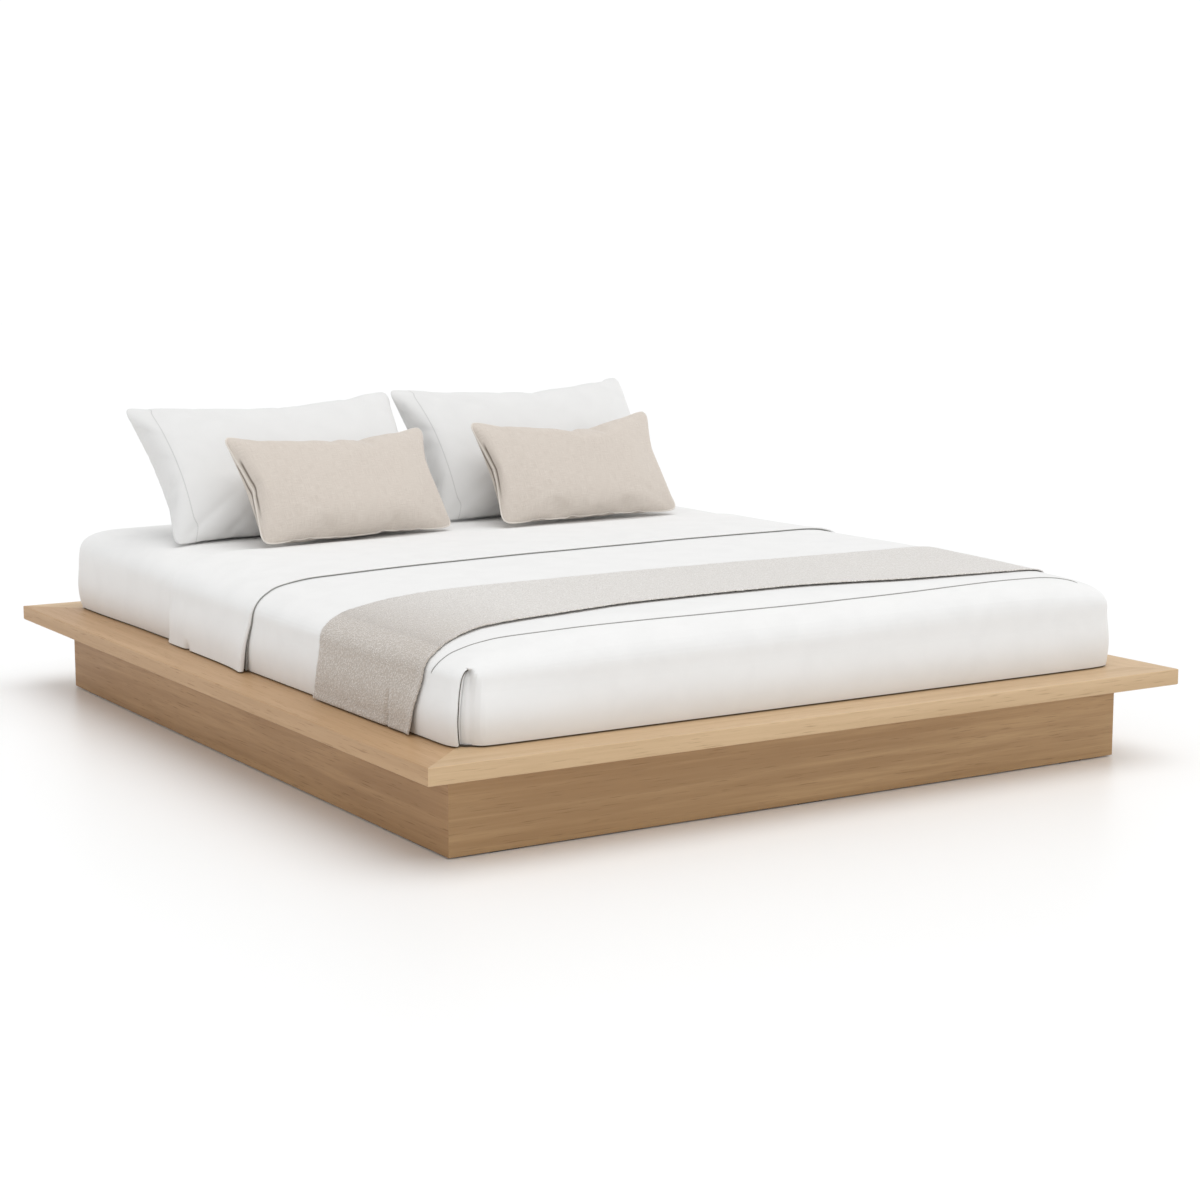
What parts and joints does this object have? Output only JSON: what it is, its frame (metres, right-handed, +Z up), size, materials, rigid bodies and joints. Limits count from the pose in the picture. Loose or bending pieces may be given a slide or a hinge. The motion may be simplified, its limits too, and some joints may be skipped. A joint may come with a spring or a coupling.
{
  "type": "double bed frame",
  "caption": "Low platform double bed: wide mitred oak deck on a recessed plinth, slatted base inside, with lift-off mattress, bedding and pillows.",
  "frame": {"origin": "on the floor under the middle of the deck", "axes": "+X to the right seen from the foot, +Y from the foot to the head, +Z up"},
  "size_m": [1.83, 2.2, 0.7311],
  "materials": {
    "oak_deck": "pale oak veneer, satin lacquer, fine straight grain",
    "oak_plinth": "oak veneer, slightly darker, satin lacquer",
    "pine": "planed pine, no finish",
    "beech": "planed beech, no finish",
    "zinc_steel": "zinc plated",
    "black_steel": "black oxide",
    "brass": "turned brass",
    "felt": "pressed felt",
    "foot_plastic": "black moulded plastic",
    "mattress_ticking": "woven ticking",
    "sheet_cotton": "white cotton percale",
    "cover_cotton": "white cotton percale",
    "runner_boucle": "light greige nubby weave",
    "pillow_cotton": "white cotton percale",
    "cushion_linen": "warm greige washed linen"
  },
  "bodies": {
    "frame": {"deck_board_left": "oak_deck", "deck_board_right": "oak_deck", "deck_board_foot": "oak_deck", "deck_board_head": "oak_deck", "mitre_tenons": "beech", "plinth_left": "oak_plinth", "plinth_right": "oak_plinth", "plinth_foot": "oak_plinth", "plinth_head": "oak_plinth", "corner_post_foot_left": "pine", "corner_post_foot_right": "pine", "corner_post_head_left": "pine", "corner_post_head_right": "pine", "bearer_left": "pine", "bearer_right": "pine", "bearer_foot": "pine", "bearer_head": "pine", "slat_strip_left": "pine", "slat_strip_right": "pine", "centre_rail": "pine", "rail_hangers": "zinc_steel", "centre_leg_1": "pine", "centre_leg_2": "pine", "centre_leg_3": "pine", "leg_studs": "zinc_steel", "threaded_inserts": "brass", "floor_pads": "felt", "deck_screws": "zinc_steel", "bearer_screws": "zinc_steel", "post_screws": "zinc_steel", "strip_screws": "zinc_steel", "slat_screws": "zinc_steel", "hanger_screws": "zinc_steel", "corner_bolts": "black_steel", "slat_01": "beech", "slat_02": "beech", "slat_03": "beech", "slat_04": "beech", "slat_05": "beech", "slat_06": "beech", "slat_07": "beech", "slat_08": "beech", "slat_09": "beech", "slat_10": "beech", "slat_11": "beech", "slat_12": "beech", "slat_13": "beech", "slat_14": "beech"},
    "levelling_1": {"level_foot_1": "foot_plastic"},
    "levelling_2": {"level_foot_2": "foot_plastic"},
    "levelling_3": {"level_foot_3": "foot_plastic"},
    "bedding": {"mattress": "mattress_ticking", "fitted_sheet": "sheet_cotton", "bed_cover": "cover_cotton", "sheet_turndown": "cover_cotton", "bed_runner": "runner_boucle", "pillow_left": "pillow_cotton", "pillow_right": "pillow_cotton", "cushion_left": "cushion_linen", "cushion_right": "cushion_linen"}
  },
  "joints": [
    {"name": "level_1", "type": "slide", "parent": "frame", "child": "levelling_1", "axis": [0, 0, 1], "range_m": [0, 0.012]},
    {"name": "level_2", "type": "slide", "parent": "frame", "child": "levelling_2", "axis": [0, 0, 1], "range_m": [0, 0.012]},
    {"name": "level_3", "type": "slide", "parent": "frame", "child": "levelling_3", "axis": [0, 0, 1], "range_m": [0, 0.012]},
    {"name": "mattress_lift", "type": "slide", "parent": "frame", "child": "bedding", "axis": [0, 0, 1], "range_m": [0, 0.5]}
  ]
}
